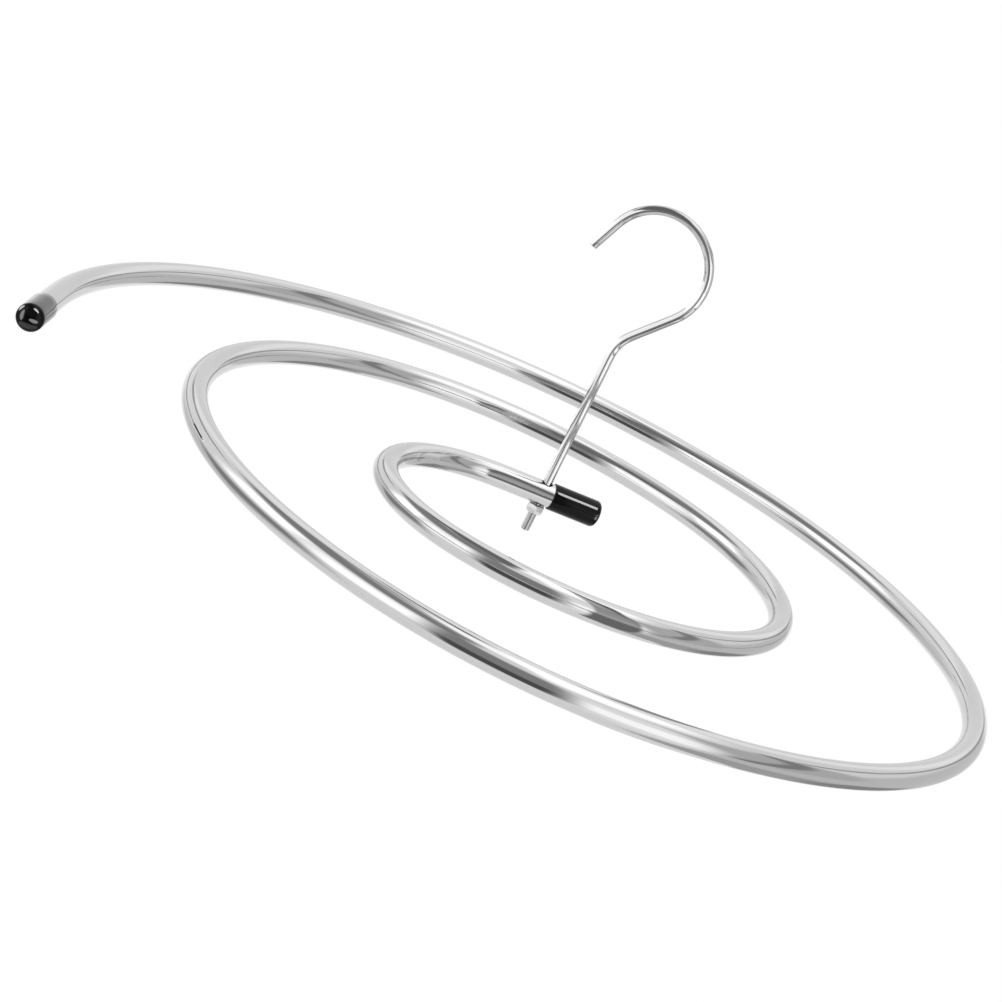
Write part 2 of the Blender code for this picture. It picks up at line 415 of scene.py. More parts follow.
def mesh_from(name, points, faces, lay, around, ways=None):
    """A smooth mesh from used points only, with its metal map. `around` is the length once round it."""
    used = sorted({k for face in faces for k in face})
    place = {old: new for new, old in enumerate(used)}
    faces = [[place[k] for k in face] for face in faces]
    mesh = bpy.data.meshes.new(name)
    mesh.from_pydata([points[k] for k in used], [], faces)
    mesh.shade_smooth()
    flat = []
    for face in faces:
        spots = [lay[used[k]] for k in face]
        far = max(spot[1] for spot in spots)
        flat += [(x, y + around if far - y > around / 2 else y) for x, y in spots]
    layer = mesh.uv_layers.new(name="lay")
    layer.uv.foreach_set("vector", np.array(flat, np.float32).ravel())
    if ways:
        mesh.normals_split_custom_set([way for face_ways in ways for way in face_ways])
    return mesh


def grid_faces(rows, columns):
    """Quads between rows of points that each close on themselves."""
    faces = []
    for start in range(0, (rows - 1) * columns, columns):
        for column in range(columns):
            following = (column + 1) % columns
            above = start + columns
            faces.append((start + column, start + following, above + following, above + column))
    return faces


print("two rows of three points make", grid_faces(2, 3))

# %% [markdown]
# ## The line of a bend
#
# A tube or wire that is rolled or bent goes from one curve to the next gradually. The line is walked in
# tenth-millimetre steps, each with its own small turn, and the turns are averaged over a short length.


# %% Line of straights and bends
STEP = 0.1 * MM


def walked_line(start, heading, moves, easing):
    """Distances, points and headings along a flat line. A move is (length, 0) or (radius, degrees)."""
    lengths, turns = [], []
    for size, angle in moves:
        length = size * abs(radians(angle)) if angle else size
        count = max(1, round(length / STEP))
        lengths.append(np.full(count, length / count))
        turns.append(np.full(count, radians(angle) / count))
    lengths, turns = np.concatenate(lengths), np.concatenate(turns)
    window = 2 * round(easing / STEP / 2) + 1
    turns = np.convolve(turns, np.ones(window) / window, "same")
    headings = radians(heading) + np.concatenate([[0], np.cumsum(turns)])
    middle = (headings[1:] + headings[:-1]) / 2
    moved = lengths[:, None] * np.stack([np.cos(middle), np.sin(middle)], 1)
    points = np.array(start) + np.concatenate([[[0, 0]], np.cumsum(moved, 0)])
    return np.concatenate([[0], np.cumsum(lengths)]), points, headings


def stations(distances, headings, turn, gap):
    """Distances of the rings: closer where the line bends, never further apart than the gap."""
    bent = np.concatenate([[0], np.cumsum(np.abs(np.diff(headings)))])
    effort = bent / radians(turn) + distances / gap
    count = ceil(effort[-1])
    return np.interp(np.linspace(0, effort[-1], count + 1), effort, distances)


def at_stations(where, distances, points, headings):
    """Place and heading on a line at each of these distances."""
    x = np.interp(where, distances, points[:, 0])
    y = np.interp(where, distances, points[:, 1])
    return x, y, np.interp(where, distances, headings)


print("lines are walked in steps of", round(STEP / MM, 2), "mm")

# %% [markdown]
# ## The spiral tube
#
# The tube is the rack itself: 2.5 m of thin stainless tube, rolled into a little over two turns that
# all lie in one plane. It is swept as rings of points. They stand closer where the bend is tight and a
# millimetre apart round the swivel hole, near the inner end.

# %% Rings along the tube
TUBE_EASING = 24 * MM
RING_TURN = 2
RING_GAP = 6 * MM
PATCH_HALF_LENGTH = 6
PATCH_CLEAR = 8 * MM

outwards = radians(START_DIRECTION + 180)
inner_end = (INNER_STRAIGHT * cos(outwards), INNER_STRAIGHT * sin(outwards))
tube_moves = [(INNER_STRAIGHT + HUB_STRAIGHT, 0), *BENDS, (OUTER_STRAIGHT, 0)]
tube_line = walked_line(inner_end, START_DIRECTION, tube_moves, TUBE_EASING)

spaced = stations(tube_line[0], tube_line[2], RING_TURN, RING_GAP)
near_hub = INNER_STRAIGHT + MM * np.arange(-PATCH_HALF_LENGTH - 1, PATCH_HALF_LENGTH + 2)
far_from_hub = spaced[np.abs(spaced - INNER_STRAIGHT) > PATCH_CLEAR]
spaced = np.sort(np.concatenate([far_from_hub, near_hub]))
xs, ys, headings = at_stations(spaced, *tube_line)
first = int(np.argmin(np.abs(spaced - near_hub[1])))
last = first + 2 * PATCH_HALF_LENGTH
hub_along = Vector((cos(headings[first]), sin(headings[first]), 0))
hub_across = Vector((-sin(headings[first]), cos(headings[first]), 0))
print("tube", round(float(tube_line[0][-1]), 3), "m long,", len(spaced), "rings")

# %% [markdown]
# ## Skins and swivel hole
#
# The outer and the inner skin are swept over the same rings. The swivel hole is drilled through both
# walls. A Boolean cut would leave long thin faces that spoil the mirror around it, so the faces near the
# hole are left out, and loops of points close in from that opening to the round edge of the hole, all
# of them on the tube's own surface. A polished tube shows every flaw in its shading, so each corner of
# each face is also told which way the true round surface faces there.

# %% Skins of the tube
TUBE_SIDES = 56
TUBE_GIRTH = 2 * pi * TUBE_RADIUS
PATCH_HALF_SIDES = 8
PATCH_LOOPS = (0.3, 0.55, 0.75, 0.9, 1)
HOLE_EDGE = 0.15 * MM

points, lay, faces, ways, facing = [], [], [], [], {}


def tube_point(spot, way, metal_place):
    """Adds a point and the way that its surface faces."""
    points.append(spot)
    lay.append(metal_place)
    facing[len(points) - 1] = way
    return len(points) - 1


def tube_face(corners, corner_ways=None):
    """Adds a face, with the way that the surface faces at each of its corners."""
    faces.append(tuple(corners))
    ways.append(corner_ways or [facing[k] for k in corners])


def patch_to_hole(rings, wall, quarter, radius, side_out, hole_radius):
    """Closes in on a hole from an opening in the skin. Gives the opening's faces and the hole's edge."""
    low, high = quarter - PATCH_HALF_SIDES, quarter + PATCH_HALF_SIDES
    opening = {(ring, side) for ring in range(first, last) for side in range(low, high)}
    rim = [(ring, high) for ring in range(first, last)]
    rim += [(last, side) for side in range(high, low, -1)]
    rim += [(ring, low) for ring in range(last, first, -1)]
    rim += [(first, side) for side in range(low, high)]
    loops = [[rings[ring][side] for ring, side in rim]]
    for share in PATCH_LOOPS:
        loop = []
        for ring, side in rim:
            along = spaced[ring] - INNER_STRAIGHT
            across = radius * cos(2 * pi * side / TUBE_SIDES)
            shrink = 1 - share * (1 - hole_radius / hypot(along, across))
            along, across = along * shrink, across * shrink
            height = wall * sqrt(radius**2 - across**2)
            out = hub_across * across + Vector((0, 0, height))
            place = (INNER_STRAIGHT + along, TUBE_RADIUS * (atan2(height, across) % (2 * pi)))
            loop.append(tube_point(HUB + hub_along * along + out, out / radius * side_out, place))
        loops.append(loop)
    for outer, inner in zip(loops, loops[1:]):
        for k in range(len(rim)):
            following = (k + 1) % len(rim)
            tube_face((outer[k], outer[following], inner[following], inner[k])[::side_out])
    return opening, loops[-1]


def tube_skin(radius, side_out, hole_radius):
    """One skin, open at both holes: its rings of points, and the edge of each hole."""
    rings = []
    for along, x, y, heading in zip(spaced, xs, ys, headings):
        ring = []
        for side in range(TUBE_SIDES):
            angle = 2 * pi * side / TUBE_SIDES
            out = Vector((-cos(angle) * sin(heading), cos(angle) * cos(heading), sin(angle)))
            spot = Vector((x, y, HUB.z)) + out * radius
            ring.append(tube_point(spot, out * side_out, (along, TUBE_RADIUS * angle)))
        rings.append(ring)
    holes, opened = [], set()
    for wall, quarter in ((1, TUBE_SIDES // 4), (-1, 3 * TUBE_SIDES // 4)):
        opening, hole = patch_to_hole(rings, wall, quarter, radius, side_out, hole_radius)
        opened |= opening
        holes.append(hole)
    for number, (ring, beyond) in enumerate(zip(rings, rings[1:])):
        for side in range(TUBE_SIDES):
            if (number, side) not in opened:
                after = (side + 1) % TUBE_SIDES
                tube_face((ring[side], ring[after], beyond[after], beyond[side])[::side_out])
    return rings, holes


outer_rings, outer_holes = tube_skin(TUBE_RADIUS, 1, HOLE_RADIUS + HOLE_EDGE)
inner_rings, inner_holes = tube_skin(TUBE_RADIUS - TUBE_WALL, -1, HOLE_RADIUS)
print("tube skins", len(faces), "faces")

# %% [markdown]
# ## Drilled walls and cut ends
#
# The two skins are joined where the tube was worked: by a small broken edge and a straight wall in each
# drilled hole, and by a flat ring at each cut end. The straight walls and the rings are told their own
# ways, because they meet the rest at a sharp edge.

# %% Drilled walls and cut ends
for wall, top, bottom in zip((1, -1), outer_holes, inner_holes):
    drilled = []
    for k in top:
        away = points[k] - HUB
        away.z = 0
        away.normalize()
        across = hub_across.dot(away) * HOLE_RADIUS
        height = wall * (sqrt(TUBE_RADIUS**2 - across**2) - HOLE_EDGE)
        spot = HUB + away * HOLE_RADIUS + Vector((0, 0, height))
        drilled.append(tube_point(spot, -away, lay[k]))
    for k in range(len(top)):
        following = (k + 1) % len(top)
        tube_face((top[k], top[following], drilled[following], drilled[k]))
        bore_ways = [facing[drilled[j]] for j in (k, following, following, k)]
        tube_face((drilled[k], drilled[following], bottom[following], bottom[k]), bore_ways)

for end, end_way in ((0, -1), (-1, 1)):
    outer, inner = outer_rings[end], inner_rings[end]
    way = Vector((cos(headings[end]), sin(headings[end]), 0)) * end_way
    for side in range(TUBE_SIDES):
        after = (side + 1) % TUBE_SIDES
        tube_face((outer[side], outer[after], inner[after], inner[side])[::end_way], [way] * 4)

spiral_tube = in_collection("rolled_tube", mesh_from("rolled_tube", points, faces, lay, TUBE_GIRTH, ways))
spiral_tube.data.materials.append(TUBE_STEEL)
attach(spiral_tube, "spiral")
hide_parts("spiral_tube")
print("tube", len(spiral_tube.data.polygons), "faces")

# %% [markdown]
# ## The hook
#
# One length of wire makes the hook. Its bottom end carries an M5 thread for the nut. A real thread is
# one groove that winds up the wire, so the threaded end is built as a spiral staircase of rows: going
# once round the wire, a row climbs by one pitch and joins the row of the next turn. Planes then cut the
# ends square.

# %% Threaded end of the wire
PITCH = 0.8 * MM
THREAD_RADIUS = 2.44 * MM
THREAD_DEPTH = 0.49 * MM
THREAD_SIDES = 48
THREAD_LENGTH = THREAD_TAIL + NUT_HEIGHT + 3 * MM
RUN_OUT = 1.6 * MM
LEAD_RADIUS = 1.85 * MM
CORE_RADIUS = MM
# Share of a pitch, and share of the depth: a narrow flat crest and a rounder root
THREAD_FORM = ((0, 0), (0.12, 0), (0.34, 0.62), (0.46, 0.95), (0.56, 1), (0.66, 0.95), (0.78, 0.62))

thread_bottom = NUT_TOP - NUT_HEIGHT - THREAD_TAIL
thread_top = thread_bottom + THREAD_LENGTH


def eased(value):
    """A smooth step from 0 to 1."""
    value = min(max(value, 0), 1)
    return value * value * (3 - 2 * value)


def thread_radius(height, depth_share):
    """Distance from the wire's axis: the lead at the cut end, the thread, then the plain shank."""
    lead = LEAD_RADIUS + (height - thread_bottom)
    grooved = min(THREAD_RADIUS - THREAD_DEPTH * depth_share, max(lead, CORE_RADIUS))
    fade = eased((height - (thread_top - RUN_OUT)) / RUN_OUT)
    return grooved + (WIRE_RADIUS - grooved) * fade


form_rows = len(THREAD_FORM)
levels = []
for turn_number in range(-2, ceil(THREAD_LENGTH / PITCH) + 2):
    levels += [((turn_number + share) * PITCH, depth) for share, depth in THREAD_FORM]
points, lay = [], []
for climb, depth in levels:
    for side in range(THREAD_SIDES):
        angle = 2 * pi * side / THREAD_SIDES
        height = thread_bottom + climb + PITCH * side / THREAD_SIDES
        radius = thread_radius(height, depth)
        points.append((radius * cos(angle), radius * sin(angle), height))
        lay.append((height - thread_bottom, WIRE_RADIUS * angle))
faces = []
for row in range(len(levels) - 1 - form_rows):
    for side in range(THREAD_SIDES):
        k = row * THREAD_SIDES + side
        over = k + 1 if side < THREAD_SIDES - 1 else (row + form_rows) * THREAD_SIDES
        faces.append((k, over, over + THREAD_SIDES, k + THREAD_SIDES))
thread = mesh_from("thread", points, faces, lay, 2 * pi * WIRE_RADIUS)
print("thread", len(levels), "rows,", round(THREAD_LENGTH / MM, 1), "mm long")

# %% [markdown]
# ## The bent wire
#
# Above the thread the wire is swept in rings, as the tube is. The shank, the neck, the leaning run and
# the round over the rail are one line of straights and bends, and the shank is as long as the height
# of the rack asks for. The far tip is cut and lightly rounded over.

# %% Bent wire
WIRE_SIDES = 48
WIRE_EASING = 7 * MM
WIRE_RING_TURN = 2.5
WIRE_RING_GAP = 4 * MM
TIP_EDGE = 0.35 * MM
JOINT_GAP = 0.3 * MM

radius = HOOK_INSIDE_RADIUS + WIRE_RADIUS
lean = radians(LEAN)
run = (radius * cos(lean) - NECK_RADIUS * (1 - cos(lean))) / sin(lean)
rise = NECK_RADIUS * sin(lean) + run * cos(lean) + radius * sin(lean)
shank = -HOOK_INSIDE_RADIUS - rise - thread_bottom
hook_moves = [(shank, 0), (NECK_RADIUS, -LEAN), (run, 0), (radius, HOOK_WRAP), (HOOK_TIP_STRAIGHT, 0)]
hook_line = walked_line((0, thread_bottom), 90, hook_moves, WIRE_EASING)
spaced = stations(hook_line[0], hook_line[2], WIRE_RING_TURN, WIRE_RING_GAP)
joint = THREAD_LENGTH + JOINT_GAP
end = hook_line[0][-1]
spaced = np.concatenate([[joint], spaced[(spaced > joint + MM) & (spaced < end - MM)]])

# The wire's radius at each ring, rounded over at the tip
tip_place, tip_radius = end - TIP_EDGE, WIRE_RADIUS - TIP_EDGE
rounding = []
for angle in np.radians((0, 30, 60, 90)):
    rounding.append((tip_place + TIP_EDGE * sin(angle), tip_radius + TIP_EDGE * cos(angle)))
rounding.append((end, WIRE_RADIUS / 2))
where = np.concatenate([spaced, [place for place, _ in rounding]])
radii = np.concatenate([np.full(len(spaced), WIRE_RADIUS), [reach for _, reach in rounding]])
xs, zs, headings = at_stations(where, *hook_line)

points, lay = [], []
for along, x, z, heading, ring_radius in zip(where, xs, zs, headings, radii):
    for side in range(WIRE_SIDES):
        angle = 2 * pi * side / WIRE_SIDES
        reach = ring_radius * cos(angle)
        points.append((x - reach * sin(heading), -ring_radius * sin(angle), z + reach * cos(heading)))
        lay.append((along, WIRE_RADIUS * angle))
faces = grid_faces(len(where), WIRE_SIDES)
faces.append([len(points) - WIRE_SIDES + side for side in range(WIRE_SIDES)])
wire = mesh_from("wire", points, faces, lay, 2 * pi * WIRE_RADIUS)
print("wire", round(float(end), 3), "m long,", len(where), "rings above the thread")

# %% [markdown]
# ## The hook in one piece
#
# Two level planes cut the thread's ends, and its lower end gets a face. A short band of faces then
# bridges the thread's top edge to the wire's first ring, which closes the hook as one piece.

# %% Hook
THREAD_CREASE = 48

work = bmesh.new()
work.from_mesh(thread)
for height, away in ((thread_bottom, -1), (thread_top, 1)):
    everything = work.verts[:] + work.edges[:] + work.faces[:]
    bmesh.ops.bisect_plane(
        work, geom=everything, dist=1e-7, plane_co=(0, 0, height), plane_no=(0, 0, away), clear_outer=True
    )
    if away < 0:
        bottom = {vert for vert in work.verts if abs(vert.co.z - height) < 1e-6}
        rim = [edge for edge in work.edges if edge.is_boundary and bottom.issuperset(edge.verts)]
        bmesh.ops.contextual_create(work, geom=rim)
work.from_mesh(wire)
open_edges = [edge for edge in work.edges if edge.is_boundary]
bmesh.ops.bridge_loops(work, edges=open_edges)
bmesh.ops.recalc_face_normals(work, faces=work.faces)
hook_mesh = bpy.data.meshes.new("wire_hook")
work.to_mesh(hook_mesh)
print("hook mesh open edges", sum(edge.is_boundary for edge in work.edges))
work.free()
hook_mesh.shade_smooth()
hook_mesh.set_sharp_from_angle(angle=radians(THREAD_CREASE))
hanging_hook = in_collection("wire_hook", hook_mesh)
hanging_hook.data.materials.append(WIRE_STEEL)
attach(hanging_hook, "hook")
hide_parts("hanging_hook")

# %% [markdown]
# ## The nut
#
# A hexagon nut is a hexagon whose corners are cut back by a cone at each face. Here its outline is
# walked once, with the corners slightly rounded, and every point of the outline makes its own way from
# the side, over the chamfer and the face, down the threaded bore and back. That keeps the curved edges
# of the chamfers exact.

# %% Outline of the nut
NUT_CORNER = 0.2 * MM
FLAT_STEPS = 10

outline = []
centre = (NUT_FLATS / 2 - NUT_CORNER) / cos(radians(30))
for corner in range(6):
    middle = radians(60 * corner + NUT_TURN)
    for swing in (-30, -15, 0, 15, 30):
        angle = middle + radians(swing)
        corner_x = centre * cos(middle) + NUT_CORNER * cos(angle)
        corner_y = centre * sin(middle) + NUT_CORNER * sin(angle)
        outline.append((corner_x, corner_y))
    following = middle + radians(60)
    end_point = (
        centre * cos(following) + NUT_CORNER * cos(following - radians(30)),
        centre * sin(following) + NUT_CORNER * sin(following - radians(30)),
    )
    start_point = outline[-1]
    for step in range(1, FLAT_STEPS):
        share = step / FLAT_STEPS
        outline.append(tuple(near + (far - near) * share for near, far in zip(start_point, end_point)))
print("nut outline", len(outline), "points")

# %% Side, faces and bore of the nut
NUT_EDGE = 0.07 * MM
NUT_FACE_RADIUS = NUT_FLATS / 2 * 0.95
NUT_COUNTERSINK_RADIUS = 2.75 * MM


def chamfer_height(radius):
    """Height of the cone-cut face above the nut's middle."""
    return NUT_HEIGHT / 2 - max(0, radius - NUT_FACE_RADIUS) * tan(radians(30))


def half_section(reach):
    """(radius, height) from the middle of the side to the mouth of the bore, at one outline point."""
    edge = chamfer_height(reach)
    half = NUT_HEIGHT / 2
    return [
        (reach, edge - NUT_EDGE),
        (reach - 0.2 * NUT_EDGE, edge - 0.25 * NUT_EDGE),
        (reach - NUT_EDGE, chamfer_height(reach - NUT_EDGE)),
        (NUT_FACE_RADIUS + NUT_EDGE, chamfer_height(NUT_FACE_RADIUS + NUT_EDGE)),
        (NUT_FACE_RADIUS - NUT_EDGE, half),
        (NUT_COUNTERSINK_RADIUS + NUT_EDGE, half),
        (NUT_COUNTERSINK_RADIUS, half - 0.4 * NUT_EDGE),
    ]


def groove(angle, height):
    """Depth share of the thread at a point, in step with the wire's thread."""
    share = ((height - thread_bottom) / PITCH - angle / (2 * pi)) % 1
    shares = [place for place, _ in THREAD_FORM] + [1]
    return float(np.interp(share, shares, [depth for _, depth in THREAD_FORM] + [0]))


print("nut chamfer drops", round((NUT_HEIGHT / 2 - chamfer_height(NUT_CORNER_RADIUS)) / MM, 2), "mm")

# %% Hexagon nut
BORE_STEP = 0.1 * MM
BORE_INSET = 0.1 * MM
THREAD_CLEARANCE = 0.1 * MM
COUNTERSINK_SLOPE = 1.2
NUT_CREASE = 40

columns = []
for x, y in outline:
    reach, angle = hypot(x, y), atan2(y, x)
    upper = half_section(reach)
    column = list(upper)
    bore_half = NUT_HEIGHT / 2 - BORE_INSET
    for height in np.arange(bore_half, -bore_half - 1e-9, -BORE_STEP):
        depth = THREAD_DEPTH * groove(angle, NUT_MIDDLE.z + height)
        mouth = NUT_COUNTERSINK_RADIUS - COUNTERSINK_SLOPE * (NUT_HEIGHT / 2 - abs(height))
        column.append((max(THREAD_RADIUS + THREAD_CLEARANCE - depth, mouth), height))
    column += [(radius, -height) for radius, height in reversed(upper)]
    away_x, away_y = cos(angle), sin(angle)
    columns.append([(radius * away_x, radius * away_y, NUT_MIDDLE.z + height) for radius, height in column])
rows = len(columns[0])
count = len(columns)
points = [column[row] for row in range(rows) for column in columns]
lay = [(point[2], 0) for point in points]
faces = [tuple(reversed(face)) for face in grid_faces(rows, count)]
last_row = (rows - 1) * count
faces += [(k, (k + 1) % count, last_row + (k + 1) % count, last_row + k) for k in range(count)]
nut_mesh = mesh_from("pressed_nut", points, faces, lay, 1)
work = bmesh.new()
work.from_mesh(nut_mesh)
bmesh.ops.recalc_face_normals(work, faces=work.faces)
work.to_mesh(nut_mesh)
work.free()
nut_mesh.shade_smooth()
nut_mesh.set_sharp_from_angle(angle=radians(NUT_CREASE))
hex_nut = in_collection("pressed_nut", nut_mesh)
hex_nut.data.materials.append(NUT_STEEL)
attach(hex_nut, "hook")
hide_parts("hex_nut")
print("nut", rows, "by", count, "points")

# %% [markdown]
# ## The end caps
#
# Each cap is one turned outline: a low dome, a round edge, a straight side, a small lip at the mouth
# and the bore that the tube pushes into. The same outline makes both caps.


# %% Outline of the caps
LIP = 0.16 * MM


def arc(middle, size, first, last, steps):
    """Points of an arc in the outline's plane, between two angles from the radius direction."""
    angles = np.radians(np.linspace(first, last, steps + 1))
    return [(middle[0] + size * cos(angle), middle[1] + size * sin(angle)) for angle in angles]


def closed_end(inset, dome_steps, edge_steps):
    """The end's outline from its axis to its side, the given depth inside the skin."""
    dome_start = 90 - degrees(CAP_DOME_ANGLE)
    dome = arc((0, CAP_LENGTH - CAP_DOME_RADIUS), CAP_DOME_RADIUS - inset, 90, dome_start, dome_steps)
    edge = arc((CAP_EDGE_MIDDLE, CAP_DEPTH), CAP_EDGE_RADIUS - inset, dome_start, 0, edge_steps)
    return dome + edge[1:]


outline = closed_end(0, 8, 10)
outline += [(CAP_RADIUS, CAP_DEPTH * share) for share in (0.75, 0.5, 0.25)]
outline += arc((CAP_RADIUS - LIP, LIP), LIP, 0, -90, 4)
outline += arc((CAP_BORE_RADIUS + LIP / 2, LIP / 2), LIP / 2, -90, -180, 2)
outline += [(CAP_BORE_RADIUS, CAP_DEPTH)]
outline += closed_end(CAP_END_WALL, 3, 4)[::-1]
print("cap outline", len(outline), "points")

# %% End caps
CAP_STEPS = 72
CAP_CREASE = 50


def turned_cap(name, tube_end, heading):
    """The outline turned about the cap's axis, with its mouth over the tube's end."""
    points, lay = [], []
    for reach, height in outline:
        for step in range(CAP_STEPS):
            angle = 2 * pi * step / CAP_STEPS
            points.append((reach * cos(angle), reach * sin(angle), height))
            lay.append((height, CAP_RADIUS * angle))
    faces = [tuple(reversed(face)) for face in grid_faces(len(outline), CAP_STEPS)]
    mesh = mesh_from(name, points, faces, lay, 2 * pi * CAP_RADIUS)
    work = bmesh.new()
    work.from_mesh(mesh)
    bmesh.ops.remove_doubles(work, verts=work.verts, dist=1e-7)
    bmesh.ops.recalc_face_normals(work, faces=work.faces)
    along = Vector((cos(heading), sin(heading), 0))
    place = Matrix.Translation(Vector((*tube_end, HUB.z)) - along * (CAP_DEPTH - SEAT_GAP))
    place = place @ Matrix.Rotation(heading, 4, "Z") @ Matrix.Rotation(pi / 2, 4, "Y")
    work.transform(place)
    work.to_mesh(mesh)
    work.free()
    mesh.shade_smooth()
    mesh.set_sharp_from_angle(angle=radians(CAP_CREASE))
    cap = in_collection(name, mesh)
    cap.data.materials.append(CAP_PLASTIC)
    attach(cap, "spiral")
    return cap


inner_cap = turned_cap("moulded_cap_inner", inner_end, outwards)
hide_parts("inner_end_cap")
outer_cap = turned_cap("moulded_cap_outer", tube_line[1][-1], tube_line[2][-1])
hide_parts("outer_end_cap")
print("caps", len(inner_cap.data.polygons), "faces each")

# %% [markdown]
# ## Studio
#
# Polished metal shows the room around it more than its own colour. A product studio is a bright tent
# with soft boxes in it and a dark gap where the camera stands, and that gap draws the black streaks
# along the tube. The world is painted as such a room, one soft-edged panel over another, each with its
# direction and its brightness. A few stand slantwise, as the legs of a lamp stand do. What the camera
# sees directly is plain white, and the wall behind the rack is nearly so.

# %% Panels of the room
# Each panel: azimuth from -Y towards +X, half its width, height above the horizon, half its height and
# softness of its edge, all in degrees. Then how many degrees of azimuth it leans for each degree of
# height, and how bright it is
ROOM_LEVEL = 1.0
PANELS = {
    "white_ceiling": (0, 180, 90, 14, 8, 0, 1.5),
    "ceiling_over_right": (107, 83, 78, 18, 16, 0, 1.65),
    "ceiling_gap_edge": (-70, 64, 66, 10, 8, 0, 0.6),
    "ceiling_gap": (-62, 57, 53, 13, 10, 0, 0.3),
    "right_wall": (113, 51, -6, 56, 8, 0, 0.72),
    "right_wall_top": (137, 32, 37, 22, 12, 0, 0.95),
    "right_wall_shade": (88, 19, 20, 27, 8, 0, 0.6),
    "right_slant": (90, 5, 21, 30, 5, 0.66, 0.3),
    "right_foot_shade": (112, 45, -49, 16, 12, 0, 0.5),
    "right_foot_dark": (138, 22, -38, 8, 6, 0, 0.33),
    "back_high": (-170, 36, 40, 23, 12, 0, 1.15),
    "back_right_slant": (145, 5, 22, 23, 4, -1.5, 0.45),
    "back_left_slant": (-129, 6, 22, 9, 4, 2.2, 0.45),
    "left_foot_shade": (-95, 45, -28, 20, 12, 0, 0.75),
    "left_foot_dark": (-84, 26, -24, 12, 14, 0, 0.3),
    "left_boxes": (-58, 40, 17, 17, 5, 0, 1.2),
    "left_box": (-76, 15, 19, 15, 10, 0, 1.9),
    "left_box_near": (-33, 19, 6, 20, 16, 0, 1.65),
    "right_strip": (46, 19, 2, 42, 14, 0, 1.12),
    "right_strip_middle": (45, 18, 2, 19, 16, 0, 1.5),
    "camera_side": (7, 21, 5, 41, 14, 0, 0.3),
    "camera_foot": (6, 17, -21, 17, 8, 0, 0.1),
    "back_wall": (-170, 20, -12, 40, 12, 0, 0.9),
    "back_foot": (-172, 24, -42, 20, 14, 0, 1.05),
}
print("studio panels", len(PANELS))

# %% [markdown]
# ## Painting the room
#
# Azimuth and height are worked out from the direction that the world is asked for. Each panel is then
# two soft masks, one across and one up, multiplied, and it is laid over the panels before it.

# %% World
world = bpy.data.worlds.new("studio")
scene.world = world
world.use_nodes = True
tree = world.node_tree
tree.nodes.clear()
way = add(tree, "ShaderNodeTexCoord")
parts = add(tree, "ShaderNodeSeparateXYZ", {0: way.outputs["Generated"]})
towards = add(tree, "ShaderNodeMath", {0: parts.outputs["Y"], 1: -1}, operation="MULTIPLY")
spin = add(tree, "ShaderNodeMath", {0: parts.outputs["X"], 1: towards.outputs[0]}, operation="ARCTAN2")
rise_angle = add(tree, "ShaderNodeMath", {0: parts.outputs["Z"]}, operation="ARCSINE")
azimuth = add(tree, "ShaderNodeMath", {0: spin.outputs[0]}, operation="DEGREES")
elevation = add(tree, "ShaderNodeMath", {0: rise_angle.outputs[0]}, operation="DEGREES")

brightness = ROOM_LEVEL
for place_round, half_width, place_up, half_height, softness, lean_over, panel_level in PANELS.values():
    above = add(tree, "ShaderNodeMath", {0: elevation.outputs[0], 1: place_up}, operation="SUBTRACT")
    beside = add(tree, "ShaderNodeMath", {0: azimuth.outputs[0], 1: place_round}, operation="SUBTRACT")
    leant = add(
        tree,
        "ShaderNodeMath",
        {0: above.outputs[0], 1: -lean_over, 2: beside.outputs[0]},
        operation="MULTIPLY_ADD",
    )
    masks = []
    for off, half in ((leant, half_width), (above, half_height)):
        near = add(tree, "ShaderNodeMath", {0: off.outputs[0], 1: 180, 2: -180}, operation="WRAP")
        size = add(tree, "ShaderNodeMath", {0: near.outputs[0]}, operation="ABSOLUTE")
        mask = add(
            tree,
            "ShaderNodeMapRange",
            {
                "Value": size.outputs[0],
                "From Min": half - softness / 2,
                "From Max": half + softness / 2,
                "To Min": 1,
                "To Max": 0,
            },
            interpolation_type="SMOOTHSTEP",
        )
        masks.append(mask.outputs["Result"])
    cover = add(tree, "ShaderNodeMath", {0: masks[0], 1: masks[1]}, operation="MULTIPLY")
    mixed = add(
        tree,
        "ShaderNodeMix",
        {"Factor": cover.outputs[0], "A": brightness, "B": panel_level},
        data_type="FLOAT",
    )
    brightness = mixed.outputs["Result"]
room = add(tree, "ShaderNodeBackground", {"Color": (1, 1, 1, 1), "Strength": brightness})
white = add(tree, "ShaderNodeBackground", {"Color": (1, 1, 1, 1), "Strength": 1})
ray = add(tree, "ShaderNodeLightPath")
seen = add(
    tree,
    "ShaderNodeMixShader",
    {"Fac": ray.outputs["Is Camera Ray"], 1: room.outputs[0], 2: white.outputs[0]},
)
add(tree, "ShaderNodeOutputWorld", {"Surface": seen.outputs[0]})
print("world nodes", len(tree.nodes))

# %% [markdown]
# ## Lamps
#
# Black plastic mirrors only about a hundredth of what meets it, so a white wall hardly shows in it and
# it takes a soft box to draw the thin white line along a cap. The glints on the outer cap have round
# outlines, so its soft boxes are ellipses. The hook hangs well above the tube and mirrors a real room
# from another place, so it has soft boxes of its own as well. Each of these lamps is linked to its
# pieces: it reaches them alone, and nothing else stands in its way. It shows only as its mirror image,
# and the plain daylight of the room is left to light the colours.

# %% Lamps
LAMP_DISTANCE = 2.4
HOOK_MIDDLE = Vector((0, 0, -HOOK_INSIDE_RADIUS))
HOOK_PIECES = (hanging_hook, hex_nut)
